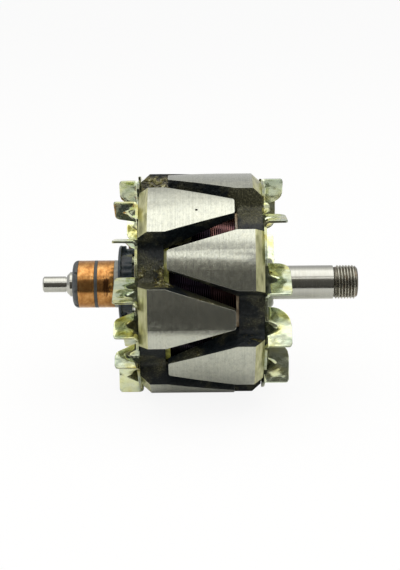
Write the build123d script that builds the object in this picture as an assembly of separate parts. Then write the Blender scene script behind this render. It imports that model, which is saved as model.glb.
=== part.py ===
from build123d import *
from math import hypot, sqrt
import os

# Alternator rotor with twelve claw fingers, in millimetres.
# The shaft lies along X, drive end at +X. X = 0 is the face that the drive-end bearing seats on.
# An angle around the shaft starts at -Y and turns towards -Z.

# Rotor and claw poles
rotor_radius = 55.0
stack_length = 59.3             # over the outer faces of both poles
finger_count = 6                # on each pole
web_thickness = 12.0
valley_depth = 10.0             # web between two fingers, below the rotor radius
valley_fillet = 3.5
finger_length = 45.6            # from the outer face to the tip
finger_straight = 12.8          # parallel root before the taper
finger_root_width = 29.4
finger_tip_width = 9.1
finger_root_thickness = 11.4
finger_tip_thickness = 3.6
finger_tip_fillet = 1.3
pole_chamfer_length = 4.4
pole_chamfer_depth = 4.0
drive_finger_angle = 90.0
slip_finger_angle = 0.0

# Shaft, from the drive end to the slip-ring end
centre_drill_radius = 1.6
centre_drill_depth = 2.6
thread_length = 12.2
thread_end_chamfer = 1.6
thread_relief_width = 1.3
thread_relief_depth = 1.0
seat_diameter = 17.0            # drive-end bearing and pulley
seat_length = 30.4
core_seat_diameter = 17.4       # knurled length under the poles, core, fans and spacer
ring_seat_diameter = 12.4
ring_seat_bare = 3.1            # seat showing beyond the insulator
ring_seat_chamfer = 1.6
journal_diameter = 8.0          # slip-ring end bearing
journal_length = 11.4
journal_chamfer = 0.5
journal_relief_width = 0.8
journal_relief_depth = 0.35

# Field core, bobbin and winding
winding_depth = 12.8            # bobbin tube to the outside of the coil
bobbin_wall = 1.2
drive_flange_thickness = 1.2
slip_flange_thickness = 2.4
coil_clearance = 1.2            # bobbin flange to the underside of the finger roots
outer_layer_length = 19.6       # the last layer stops here, counted from the slip-ring end
outer_layer_step = 0.65
petal_thickness = 1.0
flange_lip = 0.4                # flange edge beyond the petals
petal_length = 11.0             # out from the flange, under the root of each finger
petal_width = 31.5
petal_fillet = 5.0

# Front spacer
spacer_length = 5.0
spacer_diameter = 24.4
spacer_chamfer = 0.8

# Slip rings and their insulator
ring_diameter = 23.8
ring_wall = 1.8
inner_ring_length = 8.4
outer_ring_length = 8.2
ring_gap = 1.5
ring_chamfer = 0.3
insulator_band = 2.4            # shoulder between the inner ring and the lead collar
insulator_nose = 2.9
insulator_nose_fillet = 2.6
insulator_nose_radius = 8.3
nose_notch_count = 8
nose_notch_radius = 0.7

# Lead collar
collar_length = 10.1
collar_flange_radius = 19.3
collar_flange_thickness = 1.3
collar_flange_chamfer = 0.5
collar_drum_radius = 15.7
collar_drum_end = 3.4           # the drum stops short of the fan by this much
collar_boss_radius = 11.0
collar_block_width = 8.0
collar_block_depth = 3.4
collar_block_inner = 13.0
collar_block_inset = 0.2        # inside the flange's edge
collar_notch_width = 5.0

# Leads, sleeves, terminals and solder
lead_angles = (-112.4, 77.6)    # start lead, end lead
lead_diameter = 1.4
lead_inset = 3.0                # where the lead leaves the coil, below the winding's outside
lead_bend_radius = 1.4
lead_rise = 3.1                 # radial run above its terminal
lead_groove_depth = 2.8         # channel in the pole's face, under the fan
lead_standoff = 5.0             # from the rear fan to the lead's radial run
sleeve_wall = 0.55
lead_clearance = 0.25           # added to a sleeve's radius for the lead's hole in the fan
terminal_width = 4.0
terminal_thickness = 1.0
terminal_inner_radius = 7.8
terminal_outer_radius = 17.4
solder_radius = 1.6

# Fans, stamped from sheet
fan_sheet = 1.2
fan_bend_radius = 1.6           # inside of the bend
fan_foot = 4.5
fan_disc_inset = 0.6            # disc edge inside the blade ends
blade_outer_fillet = 1.6
notch_width = 9.8               # opening that each blade was folded out of
notch_fillet = 2.0
notch_run_in = 2.5
dart_height = 6.4               # stiffening dart, up the blade from the disc
one_dart = (0.54,)              # places along the chord
two_darts = (0.373, 0.707)
rear_blade_inset = 0.5          # blade ends inside the rotor radius
front_blade_inset = 2.0

# One row for each blade: outer-end angle, lean of the chord against the radius, chord, height,
# slant of the inner end, inner corner fillet and darts. The pitch is uneven, as on a fan made to
# spread its noise, and the blades were bent a little differently.
rear_blade_lean = 19.5
front_blade_lean = 32.0
rear_even_pitch = 28.3
rear_even_start = 66.4
rear_far_heights = (11.6, 11.6, 11.6, 11.6, 9.4, 10.0)
rear_blades = [
    (-86.0, 23.0, 14.0, 10.0, 1.5, 3.0, ()),
    (-64.3, 23.0, 21.0, 11.8, 4.0, 2.5, one_dart),
    (-40.0, 26.0, 22.0, 11.9, 4.0, 3.0, one_dart),
    (-9.5, rear_blade_lean, 24.5, 11.9, 0.5, 2.0, two_darts),
    (9.1, rear_blade_lean, 17.4, 11.8, 6.0, 2.0, one_dart),
    (28.9, rear_blade_lean, 13.6, 12.0, 5.6, 2.0, one_dart),
    (rear_even_start, rear_blade_lean, 20.0, 11.6, 4.0, 2.0, one_dart),
]
rear_blades += [
    (rear_even_start + rear_even_pitch * (step + 1), rear_blade_lean, 21.0, height, 4.0, 2.0,
     one_dart)
    for step, height in enumerate(rear_far_heights)]
front_blades = [
    (-94.6, front_blade_lean, 15.5, 11.1, 1.5, 5.5, ()),
    (-51.8, 45.0, 22.0, 11.3, 1.0, 5.0, one_dart),
    (-12.6, front_blade_lean, 24.3, 12.7, 0.5, 6.0, one_dart),
    (16.2, front_blade_lean, 20.5, 13.0, 1.0, 9.0, one_dart),
    (49.1, front_blade_lean, 20.0, 12.7, 0.5, 6.5, one_dart),
]
front_blades += [
    (angle, front_blade_lean, 21.5, height, 1.0, height / 2, one_dart)
    for angle, height in ((85.1, 11.0), (121.1, 11.0), (157.1, 9.0), (190.2, 9.5), (229.1, 9.1))]

# Stations along the shaft, from the bearing face at X = 0
front_fan_face = -spacer_length
drive_pole_face = front_fan_face - fan_sheet
slip_pole_face = drive_pole_face - stack_length
rear_fan_face = slip_pole_face - fan_sheet
collar_face = rear_fan_face - collar_length
inner_ring_start = collar_face - insulator_band
outer_ring_start = inner_ring_start - inner_ring_length - ring_gap
insulator_end = outer_ring_start - outer_ring_length - insulator_nose
ring_seat_end = insulator_end - ring_seat_bare
shaft_slip_end = ring_seat_end - journal_relief_width - journal_length
shaft_drive_end = seat_length + thread_length
core_start = slip_pole_face + web_thickness
core_end = drive_pole_face - web_thickness
winding_start = core_start + slip_flange_thickness
winding_end = core_end - drive_flange_thickness

# Radii that neighbours share
core_seat_radius = core_seat_diameter / 2
seat_radius = seat_diameter / 2
ring_seat_radius = ring_seat_diameter / 2
journal_radius = journal_diameter / 2
ring_radius = ring_diameter / 2
ring_inner_radius = ring_radius - ring_wall
valley_radius = rotor_radius - valley_depth
bobbin_flange_radius = rotor_radius - finger_root_thickness - coil_clearance
petal_radius = bobbin_flange_radius - flange_lip
winding_radius = petal_radius - petal_thickness
bobbin_tube_radius = winding_radius - winding_depth
core_radius = bobbin_tube_radius - bobbin_wall
lead_radius = winding_radius - lead_inset
lead_exit_radius = terminal_outer_radius + lead_rise
rear_blade_radius = rotor_radius - rear_blade_inset
front_blade_radius = rotor_radius - front_blade_inset
sleeve_radius = lead_diameter / 2 + sleeve_wall
lead_turn_x = slip_pole_face + lead_groove_depth / 2
lead_run_x = rear_fan_face - lead_standoff


def turned(points):
    """A solid turned about the shaft axis from a closed outline of (x, radius) points."""
    return revolve(Polygon(*points, align=None), Axis.X)


def tube(start, end, inner, outer):
    """A plain ring about the shaft axis."""
    return turned([(start, inner), (end, inner), (end, outer), (start, outer)])


def around(shape, angle):
    """Turn a shape made at +Y to its angle around the shaft."""
    return Rot(X=angle + 180) * shape


def radial_prism(plan, depth):
    """Extrude a plan of (x, tangent) outwards along +Y from the shaft axis."""
    return Rot(X=-90) * extrude(plan, depth, dir=(0, 0, 1))


def make_shaft():
    thread_start = seat_length
    relief_radius = seat_radius - thread_relief_depth
    journal_relief = journal_radius - journal_relief_depth
    body = turned([
        (shaft_slip_end, 0),
        (shaft_slip_end, journal_radius - journal_chamfer),
        (shaft_slip_end + journal_chamfer, journal_radius),
        (ring_seat_end - journal_relief_width, journal_radius),
        (ring_seat_end - journal_relief_width, journal_relief),
        (ring_seat_end, journal_relief),
        (ring_seat_end, ring_seat_radius - ring_seat_chamfer),
        (ring_seat_end + ring_seat_chamfer, ring_seat_radius),
        (rear_fan_face, ring_seat_radius),
        (rear_fan_face, core_seat_radius),
        (0, core_seat_radius),
        (0, seat_radius),
        (thread_start, seat_radius),
        (thread_start + thread_relief_depth / 2, relief_radius),
        (thread_start + thread_relief_width, relief_radius),
        (thread_start + thread_relief_width + thread_relief_depth / 2, seat_radius),
        (shaft_drive_end - thread_end_chamfer, seat_radius),
        (shaft_drive_end, seat_radius - thread_end_chamfer),
        (shaft_drive_end, 0),
    ])
    for end, inward in ((shaft_slip_end, 1), (shaft_drive_end, -1)):
        body -= turned([
            (end, 0),
            (end, centre_drill_radius),
            (end + inward * centre_drill_depth, 0),
        ])
    return body


def make_pole():
    """One forged claw pole, outer face at x = 0 and fingers reaching towards +x."""
    blank = turned([
        (0, core_seat_radius),
        (0, rotor_radius - pole_chamfer_depth),
        (pole_chamfer_length, rotor_radius),
        (finger_length, rotor_radius),
        (finger_length, rotor_radius - finger_tip_thickness),
        (web_thickness, rotor_radius - finger_root_thickness),
        (web_thickness, core_seat_radius),
    ])
    pitch = 360 / finger_count
    root = Pos(rotor_radius / 2, 0) * Rectangle(rotor_radius * 1.1, finger_root_width)
    outline = Circle(valley_radius)
    for step in range(finger_count):
        outline += Rot(Z=pitch * step) * root
    inner_corners = [v for v in outline.vertices() if abs(hypot(v.X, v.Y) - valley_radius) < 0.01]
    outline = fillet(inner_corners, valley_fillet)
    cutter = extrude(Plane.YZ * outline, web_thickness)

    half_root = finger_root_width / 2
    half_tip = finger_tip_width / 2
    plan = Polygon(
        (web_thickness / 2, -half_root),
        (finger_straight, -half_root),
        (finger_length, -half_tip),
        (finger_length, half_tip),
        (finger_straight, half_root),
        (web_thickness / 2, half_root),
        align=None,
    )
    plan = fillet(plan.vertices().filter_by_position(Axis.X, finger_length, finger_length),
                  finger_tip_fillet)
    finger = radial_prism(plan, rotor_radius * 1.1) - Box(4 * finger_length, core_radius * 2,
                                                          4 * rotor_radius)
    for step in range(finger_count):
        cutter += Rot(X=pitch * step) * finger
    return blank & cutter


def make_bobbin():
    body = turned([
        (core_start, core_radius),
        (core_start, bobbin_flange_radius),
        (winding_start, bobbin_flange_radius),
        (winding_start, bobbin_tube_radius),
        (winding_end, bobbin_tube_radius),
        (winding_end, bobbin_flange_radius),
        (core_end, bobbin_flange_radius),
        (core_end, core_radius),
    ])
    for root_x, tip_x, first in (
            (core_start + slip_flange_thickness / 2, winding_start + petal_length,
             slip_finger_angle),
            (core_end - drive_flange_thickness / 2, winding_end - petal_length,
             drive_finger_angle)):
        shell = tube(min(root_x, tip_x), max(root_x, tip_x), winding_radius, petal_radius)
        body += shell & petal_plans(root_x, tip_x, first)
    for angle in lead_angles:
        body -= around(lead_bore(core_start, winding_start), angle)
    return body


def petal_plans(root_x, tip_x, first_angle):
    """The outlines of one flange's petals, one under each finger, as radial prisms."""
    half = petal_width / 2
    plan = Polygon((root_x, -half), (tip_x, -half), (tip_x, half), (root_x, half), align=None)
    plan = fillet(plan.vertices().filter_by_position(Axis.X, tip_x, tip_x), petal_fillet)
    prism = radial_prism(plan, rotor_radius) - tube(
        min(root_x, tip_x) - 1, max(root_x, tip_x) + 1, 0, bobbin_tube_radius)
    pitch = 360 / finger_count
    return Compound(children=[
        around(prism, first_angle + pitch * step) for step in range(finger_count)])


def make_winding():
    """The coil, whose last layer stops short of the drive end."""
    layer_end = winding_start + outer_layer_length
    return turned([
        (winding_start, bobbin_tube_radius),
        (winding_start, winding_radius),
        (layer_end, winding_radius),
        (layer_end, winding_radius - outer_layer_step),
        (winding_end, winding_radius - outer_layer_step),
        (winding_end, bobbin_tube_radius),
    ])


def lead_bore(start, end, radius=lead_radius, clearance=0):
    """The straight hole that a lead passes through in its sleeve, made at +Y."""
    return Pos(start, radius, 0) * Rot(Y=90) * Cylinder(
        sleeve_radius + clearance, end - start, align=(Align.CENTER, Align.CENTER, Align.MIN))


def lead_groove():
    """The channel in the pole's outer face that a lead lies in on its way inwards, made at +Y."""
    floor = slip_pole_face + lead_groove_depth
    middle = (lead_radius + lead_exit_radius) / 2
    channel = Pos(slip_pole_face, middle, 0) * Box(
        lead_groove_depth, lead_radius - lead_exit_radius, 2 * sleeve_radius,
        align=(Align.MIN, Align.CENTER, Align.CENTER))
    return channel + lead_bore(slip_pole_face, floor) + lead_bore(
        slip_pole_face, floor, lead_exit_radius)


def make_lead():
    """A lead from the winding, inwards under the fan and out to its terminal, made at +Y."""
    path = FilletPolyline(
        (winding_start, lead_radius, 0),
        (lead_turn_x, lead_radius, 0),
        (lead_turn_x, lead_exit_radius, 0),
        (lead_run_x, lead_exit_radius, 0),
        (lead_run_x, terminal_outer_radius, 0),
        radius=lead_bend_radius,
    )
    start = Plane(origin=(winding_start, lead_radius, 0), z_dir=(-1, 0, 0))
    return sweep(start * Circle(lead_diameter / 2), path)


def make_sleeve():
    """The insulating sleeve over a lead, from the coil to the groove, made at +Y."""
    end = slip_pole_face + lead_groove_depth
    outer = lead_bore(end, winding_start)
    core = Pos(end, lead_radius, 0) * Rot(Y=90) * Cylinder(
        lead_diameter / 2, winding_start - end, align=(Align.CENTER, Align.CENTER, Align.MIN))
    return outer - core


def make_terminal(ring_middle):
    """A strip from under a slip ring, along inside the insulator and out to the lead."""
    half = terminal_thickness / 2
    block_x = collar_face + collar_block_depth - terminal_thickness
    tab_x = lead_run_x + solder_radius
    outline = Polygon(
        (ring_middle - half, terminal_inner_radius),
        (block_x + terminal_thickness, terminal_inner_radius),
        (block_x + terminal_thickness, terminal_outer_radius - terminal_thickness),
        (tab_x, terminal_outer_radius - terminal_thickness),
        (tab_x, terminal_outer_radius),
        (block_x, terminal_outer_radius),
        (block_x, terminal_inner_radius + terminal_thickness),
        (ring_middle + half, terminal_inner_radius + terminal_thickness),
        (ring_middle + half, ring_inner_radius),
        (ring_middle - half, ring_inner_radius),
        align=None,
    )
    return extrude(outline, terminal_width / 2, both=True)


def make_solder():
    """The domed joint around the end of a lead, on its terminal."""
    dome = Sphere(solder_radius, arc_size1=0, align=(Align.CENTER, Align.CENTER, Align.MIN))
    dome -= Cylinder(lead_diameter / 2, 3 * solder_radius)
    return Pos(lead_run_x, terminal_outer_radius, 0) * Rot(X=-90) * dome


def make_slip_ring(end, length):
    """A copper ring whose face nearest the journal is at end."""
    return turned([
        (end, ring_inner_radius),
        (end, ring_radius - ring_chamfer),
        (end + ring_chamfer, ring_radius),
        (end + length - ring_chamfer, ring_radius),
        (end + length, ring_radius - ring_chamfer),
        (end + length, ring_inner_radius),
    ])


def make_insulator():
    """The moulding that carries both rings, with a rounded nose."""
    outline = Polygon(
        (insulator_end, ring_seat_radius),
        (insulator_end, insulator_nose_radius),
        (insulator_end + ring_chamfer, ring_radius),
        (outer_ring_start - outer_ring_length, ring_radius),
        (outer_ring_start - outer_ring_length, ring_inner_radius),
        (outer_ring_start, ring_inner_radius),
        (outer_ring_start, ring_radius),
        (outer_ring_start + ring_gap, ring_radius),
        (outer_ring_start + ring_gap, ring_inner_radius),
        (inner_ring_start, ring_inner_radius),
        (inner_ring_start, ring_radius),
        (collar_face, ring_radius),
        (collar_face, ring_seat_radius),
        align=None,
    )
    corner = outline.vertices().sort_by_distance((insulator_end + ring_chamfer, ring_radius, 0))[0]
    body = revolve(fillet(corner, insulator_nose_fillet), Axis.X)
    groove = Pos(insulator_end, ring_radius, 0) * Rot(Y=90) * Cylinder(
        nose_notch_radius, 2 * insulator_nose)
    for step in range(nose_notch_count):
        body -= around(groove, 360 / nose_notch_count * step)
    return body


def make_collar():
    """The moulded collar between the rings and the fan, with a block for each terminal."""
    drum_end = rear_fan_face - collar_drum_end
    flange_back = collar_face + collar_flange_thickness
    body = turned([
        (collar_face, ring_seat_radius),
        (collar_face, collar_flange_radius - collar_flange_chamfer),
        (collar_face + collar_flange_chamfer, collar_flange_radius),
        (flange_back, collar_flange_radius),
        (flange_back, collar_drum_radius),
        (drum_end, collar_drum_radius),
        (drum_end, collar_boss_radius),
        (rear_fan_face, collar_boss_radius),
        (rear_fan_face, ring_seat_radius),
    ])
    block_start = collar_face + collar_flange_thickness / 2
    block_end = collar_face + collar_block_depth
    block_radius = collar_flange_radius - collar_block_inset
    block = tube(block_start, block_end, collar_block_inner, block_radius) & Pos(
        block_start, 0, 0) * Box(collar_block_depth, collar_flange_radius, collar_block_width,
                                 align=(Align.MIN, Align.MIN, Align.CENTER))
    notch = Pos(block_end, collar_block_inner, 0) * Box(
        collar_length, collar_drum_radius, collar_notch_width,
        align=(Align.MIN, Align.MIN, Align.CENTER))
    for angle in lead_angles:
        body = body + around(block, angle) - around(notch, angle)
    return body


def make_blade(chord, height, inner_lean, inner_fillet, darts):
    """A folded blade: x is out from the disc, y along the chord, z towards its foot."""
    outer_bend = fan_bend_radius + fan_sheet
    profile = Polygon((0, 0), (0, -fan_foot), (fan_sheet, -fan_foot), (fan_sheet, -fan_sheet),
                      (height, -fan_sheet), (height, 0), align=None)
    convex = profile.vertices().sort_by_distance((0, 0, 0))[0]
    profile = fillet(convex, outer_bend)
    concave = profile.vertices().sort_by_distance((fan_sheet, -fan_sheet, 0))[0]
    profile = fillet(concave, fan_bend_radius)
    body = Rot(X=-90) * extrude(profile, chord)

    # A dart is a V pressed across the bend, with the sheet's thickness kept behind it
    groove_apex = dart_height / sqrt(2)
    back_apex = groove_apex + fan_sheet * sqrt(2)
    inside = Box(height, chord, height, align=Align.MIN)
    for share in darts:
        middle = chord * share
        back = dart_prism(back_apex, height) & Pos(0, -middle, 0) * inside
        body += Pos(0, middle, 0) * back
        body -= Pos(0, middle, 0) * dart_prism(groove_apex, height)

    side = Polygon((0, 0), (height, inner_lean), (height, chord), (0, chord), align=None)
    outer_corner = side.vertices().sort_by_distance((height, chord, 0))[0]
    side = fillet(outer_corner, blade_outer_fillet)
    inner_corner = side.vertices().sort_by_distance((height, inner_lean, 0))[0]
    side = fillet(inner_corner, inner_fillet)
    return body & Pos(0, 0, -fan_sheet) * extrude(side, 2 * height)


def dart_prism(apex, reach):
    """A V-shaped bar lying at 45 degrees across the bend, its edge at the given distance."""
    wedge = Polygon((-reach, -apex - reach), (apex, 0), (-reach, apex + reach), align=None)
    return Rot(Y=-45) * extrude(wedge, 2 * reach, both=True)


def notch_cut(chord):
    """The opening in the disc that a blade was folded out of, in the blade's own axes."""
    bend = fan_bend_radius + fan_sheet
    outer_end = chord + notch_width
    plan = Polygon((-notch_run_in, -notch_width), (outer_end, -notch_width), (outer_end, bend),
                   (-notch_run_in, bend), align=None)
    inner_corners = plan.vertices().filter_by_position(Axis.X, -notch_run_in, -notch_run_in)
    plan = fillet(inner_corners, notch_fillet)
    return Pos(-fan_sheet, 0, 0) * extrude(Plane.YZ * plan, 3 * fan_sheet)


def make_fan(blades, blade_radius):
    """A stamped fan with its inner face at x = 0 and its blades folded towards +x."""
    body = tube(0, fan_sheet, core_seat_radius, blade_radius - fan_disc_inset)
    for angle, lean, chord, *form in blades:
        place = Pos(0, blade_radius, 0) * Rot(X=lean) * Pos(0, -chord, 0)
        body -= around(place * notch_cut(chord), angle)
    for angle, lean, chord, *form in blades:
        place = Pos(0, blade_radius, 0) * Rot(X=lean) * Pos(0, -chord, 0)
        body += around(place * make_blade(chord, *form), angle)
    return body


def make_spacer():
    outer = spacer_diameter / 2
    return turned([
        (front_fan_face, core_seat_radius),
        (front_fan_face, outer),
        (-spacer_chamfer, outer),
        (0, outer - spacer_chamfer),
        (0, core_seat_radius),
    ])


# Pieces on the axis
shaft = make_shaft()
claws = make_pole()
slip_ring_end_pole = Pos(slip_pole_face, 0, 0) * around(claws, slip_finger_angle)
drive_end_pole = Pos(drive_pole_face, 0, 0) * around(mirror(claws, Plane.YZ), drive_finger_angle)
for angle in lead_angles:
    slip_ring_end_pole -= around(lead_bore(slip_pole_face, core_start) + lead_groove(), angle)
field_core = tube(core_start, core_end, core_seat_radius, core_radius)
field_winding = make_winding()
bobbin = make_bobbin()
front_spacer = make_spacer()

# Leads and what they join
outer_ring_middle = outer_ring_start - outer_ring_length / 2
inner_ring_middle = inner_ring_start - inner_ring_length / 2
start_lead, end_lead = [around(make_lead(), angle) for angle in lead_angles]
start_lead_sleeve, end_lead_sleeve = [around(make_sleeve(), angle) for angle in lead_angles]
outer_slip_ring = make_slip_ring(outer_ring_start - outer_ring_length, outer_ring_length)
inner_slip_ring = make_slip_ring(inner_ring_start - inner_ring_length, inner_ring_length)
outer_ring_terminal = around(make_terminal(outer_ring_middle), lead_angles[0]) - outer_slip_ring
inner_ring_terminal = around(make_terminal(inner_ring_middle), lead_angles[1]) - inner_slip_ring
slip_ring_insulator = make_insulator() - outer_ring_terminal - inner_ring_terminal
lead_collar = make_collar() - outer_ring_terminal - inner_ring_terminal
lead_solder = [around(make_solder(), angle) for angle in lead_angles]

# Fans
rear_fan = Pos(slip_pole_face, 0, 0) * mirror(
    make_fan(rear_blades, rear_blade_radius), Plane.YZ)
front_fan = Pos(drive_pole_face, 0, 0) * make_fan(front_blades, front_blade_radius)
for angle in lead_angles:
    hole = lead_bore(rear_fan_face, slip_pole_face, lead_exit_radius, lead_clearance)
    rear_fan -= around(hole, angle)

pieces = {
    "shaft": shaft,
    "drive_end_pole": drive_end_pole,
    "slip_ring_end_pole": slip_ring_end_pole,
    "field_core": field_core,
    "bobbin": bobbin,
    "field_winding": field_winding,
    "start_lead": start_lead,
    "end_lead": end_lead,
    "start_lead_sleeve": start_lead_sleeve,
    "end_lead_sleeve": end_lead_sleeve,
    "outer_slip_ring": outer_slip_ring,
    "inner_slip_ring": inner_slip_ring,
    "slip_ring_insulator": slip_ring_insulator,
    "outer_ring_terminal": outer_ring_terminal,
    "inner_ring_terminal": inner_ring_terminal,
    "lead_collar": lead_collar,
    "lead_solder": Compound(children=lead_solder),
    "rear_fan": rear_fan,
    "front_fan": front_fan,
    "front_spacer": front_spacer,
}

os.makedirs("parts", exist_ok=True)
for name, piece in pieces.items():
    export_step(piece, f"parts/{name}.step")
    print(name, round(piece.volume), "mm3")
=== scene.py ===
import math
import bpy
import bmesh
from mathutils import Matrix, Vector, noise


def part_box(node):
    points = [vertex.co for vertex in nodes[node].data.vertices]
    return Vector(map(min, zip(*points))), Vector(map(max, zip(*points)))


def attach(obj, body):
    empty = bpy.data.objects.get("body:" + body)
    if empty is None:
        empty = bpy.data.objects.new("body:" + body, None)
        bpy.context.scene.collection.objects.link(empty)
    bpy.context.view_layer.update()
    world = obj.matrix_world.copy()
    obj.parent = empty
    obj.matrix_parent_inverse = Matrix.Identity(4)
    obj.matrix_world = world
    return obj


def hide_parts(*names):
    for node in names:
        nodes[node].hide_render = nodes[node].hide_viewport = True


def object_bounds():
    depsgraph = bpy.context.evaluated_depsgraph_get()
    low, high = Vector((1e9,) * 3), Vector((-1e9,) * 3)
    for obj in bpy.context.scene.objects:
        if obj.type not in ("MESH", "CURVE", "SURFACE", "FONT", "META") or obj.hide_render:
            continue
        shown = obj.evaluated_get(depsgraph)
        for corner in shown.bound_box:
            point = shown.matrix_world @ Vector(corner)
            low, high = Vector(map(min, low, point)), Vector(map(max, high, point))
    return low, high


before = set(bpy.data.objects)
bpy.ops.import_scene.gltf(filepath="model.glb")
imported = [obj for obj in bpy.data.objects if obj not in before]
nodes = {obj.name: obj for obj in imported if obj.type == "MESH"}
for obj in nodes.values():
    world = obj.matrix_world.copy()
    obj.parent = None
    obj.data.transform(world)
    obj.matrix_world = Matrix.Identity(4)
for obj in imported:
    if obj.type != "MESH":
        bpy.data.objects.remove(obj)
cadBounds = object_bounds()
mm = 0.001
viewElevation = 18.6    # degrees, of the camera above the shaft
leadAngles = (-112.4, 77.6)    # degrees about the shaft, of the start and end lead


# Helpers for the finishes

# sRGB hex to the linear values that a shader takes
def linearColour(hexText):
    values = [int(hexText[i:i + 2], 16) / 255 for i in (1, 3, 5)]
    return [v / 12.92 if v <= 0.04045 else ((v + 0.055) / 1.055) ** 2.4 for v in values] + [1.0]


# Adds a node with its settings. Values go to the named sockets, or to those in use in their order
def addNode(tree, kind, values=(), stops=(), **settings):
    node = tree.nodes.new("ShaderNode" + kind)
    for key, value in settings.items():
        setattr(node, key, value)
    if isinstance(values, dict):
        pairs = [(node.inputs[name], value) for name, value in values.items()]
    else:
        pairs = list(zip([socket for socket in node.inputs if socket.enabled], values))
    for socket, value in pairs:
        if isinstance(value, bpy.types.NodeSocket):
            tree.links.new(value, socket)
        else:
            socket.default_value = linearColour(value) if isinstance(value, str) else value
    if stops:
        elements = node.color_ramp.elements
        while len(elements) < len(stops):
            elements.new(0.5)
        for element, (position, colour) in zip(elements, stops):
            element.position = position
            element.color = linearColour(colour) if isinstance(colour, str) else colour
    return next((output for output in node.outputs if output.enabled), None)


# A material with its main shader's own sockets set
def newMaterial(name, **shader):
    material = bpy.data.materials.new(name)
    material.use_nodes = True
    tree = material.node_tree
    main = tree.nodes["Principled BSDF"]
    for socket, value in shader.items():
        main.inputs[socket.replace("_", " ")].default_value = value
    return material, tree, main


# The point on the piece in millimetres, scaled and shifted for a pattern
def objectPoint(tree, scale=(1, 1, 1), shift=(0, 0, 0)):
    place = addNode(tree, "TexCoord").node.outputs["Object"]
    return addNode(tree, "Mapping", {"Vector": place, "Scale": [s / mm for s in scale], "Location": shift})


# Soft uneven patches, by their number to a millimetre, or one number for each axis
def unevenness(tree, perMm, detail=3.0, roughness=0.55, shift=(0, 0, 0)):
    scale = [perMm] * 3 if isinstance(perMm, float) else perMm
    return addNode(tree, "TexNoise", [objectPoint(tree, scale, shift), 1.0, detail, roughness])


# Tool marks left by turning: they change along the shaft and hardly at all around it
def turnedLines(tree, pitch, seed=0.0):
    return unevenness(tree, (1 / pitch, 0.02, 0.02), 4.0, 0.7, (seed, 0, 0))


# Distance from the shaft axis in millimetres
def offShaft(tree):
    parts = addNode(tree, "SeparateXYZ", [objectPoint(tree)]).node.outputs
    flat = addNode(tree, "CombineXYZ", {"Y": parts["Y"], "Z": parts["Z"]})
    return addNode(tree, "VectorMath", [flat], operation="LENGTH")


# 1 inside a rounded patch with a ragged edge, 0 outside. Centre and half-sizes in millimetres
def patchMask(tree, centre, size, ragged=0.5):
    vector = objectPoint(tree, [1 / s for s in size], [-c / s for c, s in zip(centre, size)])
    away = addNode(tree, "VectorMath", [vector], operation="LENGTH")
    uneven = addNode(tree, "TexNoise", [vector, 2.2, 4.0, 0.55])
    uneven = addNode(tree, "MapRange", [uneven, 0.3, 0.7, -ragged / 2, ragged / 2])
    away = addNode(tree, "Math", [away, uneven], operation="ADD")
    return addNode(tree, "MapRange", [away, 1.0, 0.7])


# The larger of a share and the patches listed by centre and half-sizes
def withPatches(tree, share, patches, ragged):
    for centre, size in patches:
        mask = patchMask(tree, centre, size, ragged)
        share = addNode(tree, "Math", [share, mask], operation="MAXIMUM")
    return share


# A point on the rotor: distance along the shaft, angle below the camera's line of sight, radius
def rotorPoint(along, angle, radius):
    turn = math.radians(angle - viewElevation)
    return (along, -radius * math.cos(turn), -radius * math.sin(turn))


# Lays colours over a tone, each where its pattern passes from low to high, up to its most
def stained(tree, tone, *layers):
    for colour, pattern, low, high, most in layers:
        share = addNode(tree, "MapRange", [pattern, low, high, 0.0, most])
        tone = addNode(tree, "Mix", [share, tone, colour], data_type="RGBA")
    return tone


# Links a surface's tone and roughness, and its relief in millimetres over softened edges
def finishSurface(tree, main, tone, rough, relief=None, height=0.0, strength=1.0, edge=0.0):
    links = {"Base Color": tone, "Roughness": rough}
    if relief is not None:
        settings = {"Height": relief, "Distance": height * mm, "Strength": strength}
        if edge:
            settings["Normal"] = addNode(tree, "Bevel", [edge * mm], samples=4)
        bump = addNode(tree, "Bump", settings)
        links.update({"Normal": bump, "Coat Normal": bump})
    for socket, output in links.items():
        tree.links.new(output, main.inputs[socket])


# Finishes

# Ground shaft steel: bright, with fine lines around it
def groundSteel():
    material, tree, main = newMaterial("groundShaftSteel", Metallic=1.0)
    lines = turnedLines(tree, 0.45)
    blotches = unevenness(tree, 0.12, 4.0)
    tone = stained(tree, "#b1b1ab", ("#c2c2bb", lines, 0.3, 0.7, 1.0), ("#a09a8a", blotches, 0.5, 0.7, 0.3))
    rough = addNode(tree, "MapRange", [lines, 0.2, 0.8, 0.10, 0.20])
    finishSurface(tree, main, tone, rough, lines, 0.015, 0.5)
    return material


# Cut thread: darker and rougher than the ground seat, darker and browner towards the roots as painted shade,
# and spotted with rust
def threadSteel():
    material, tree, main = newMaterial("cutThreadSteel", Metallic=0.9)
    # Painted shade: the tone darkens from the crest down into the roots
    depth = addNode(tree, "MapRange", [offShaft(tree), 7.6, 8.5])
    spots = unevenness(tree, (0.45, 0.3, 0.3), 5.0, 0.6)
    tone = addNode(tree, "ValToRGB", [depth], [(0.0, "#716d62"), (0.5, "#9a978c"), (1.0, "#b8b6ab")])
    tone = stained(tree, tone, ("#7c5a38", spots, 0.56, 0.66, 0.6))
    rough = addNode(tree, "MapRange", [spots, 0.3, 0.7, 0.2, 0.36])
    finishSurface(tree, main, tone, rough, spots, 0.03, 0.5)
    return material
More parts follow.
